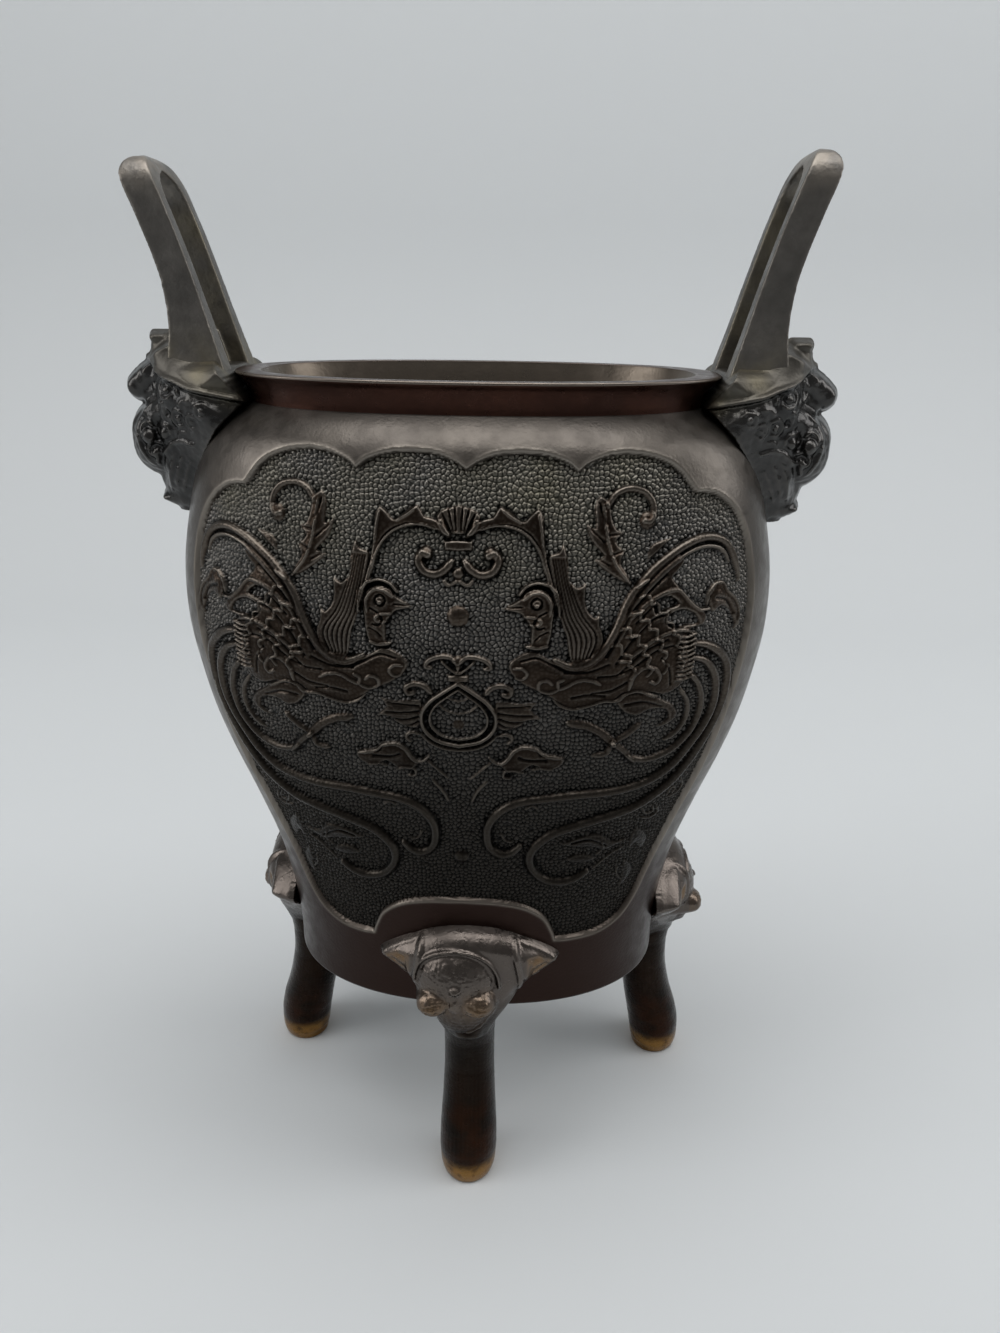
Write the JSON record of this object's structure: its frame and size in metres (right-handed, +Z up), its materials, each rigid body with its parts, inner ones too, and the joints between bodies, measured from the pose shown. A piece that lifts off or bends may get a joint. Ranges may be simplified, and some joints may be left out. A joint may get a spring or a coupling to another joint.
{
  "type": "bronze censer",
  "caption": "Oval footed bronze censer with an open flared mouth, upright loop handles on beast masks, beast-headed legs and sunk relief panels of paired phoenixes.",
  "frame": {"origin": "on the floor under the middle of the vessel", "axes": "+Z up, -Y is the front with the single leg, +X is the vessel's right handle as seen from the front"},
  "size_m": [0.1474, 0.0826, 0.2284],
  "materials": {
    "body_bronze": "dark brown patina, satin",
    "collar_bronze": "reddish brown patina, satin",
    "inside_bronze": "dull dark patina",
    "panel_bronze": "black pebbled ground, worn relief",
    "handle_bronze": "brown patina, dusty",
    "mask_bronze": "brown patina, worn edges",
    "leg_bronze": "brown patina, worn to gold on the heads",
    "rivet_bronze": "raw bronze"
  },
  "bodies": {
    "root": {"vessel_body": "body_bronze", "rim_collar": "collar_bronze", "floor_plate": "inside_bronze", "front_relief_panel": "panel_bronze", "rear_relief_panel": "panel_bronze", "left_handle_loop": "handle_bronze", "right_handle_loop": "handle_bronze", "left_handle_mask": "mask_bronze", "right_handle_mask": "mask_bronze", "front_leg": "leg_bronze", "left_leg": "leg_bronze", "right_leg": "leg_bronze", "leg_rivets": "rivet_bronze", "mask_rivets": "rivet_bronze", "handle_pins": "rivet_bronze"}
  },
  "joints": []
}
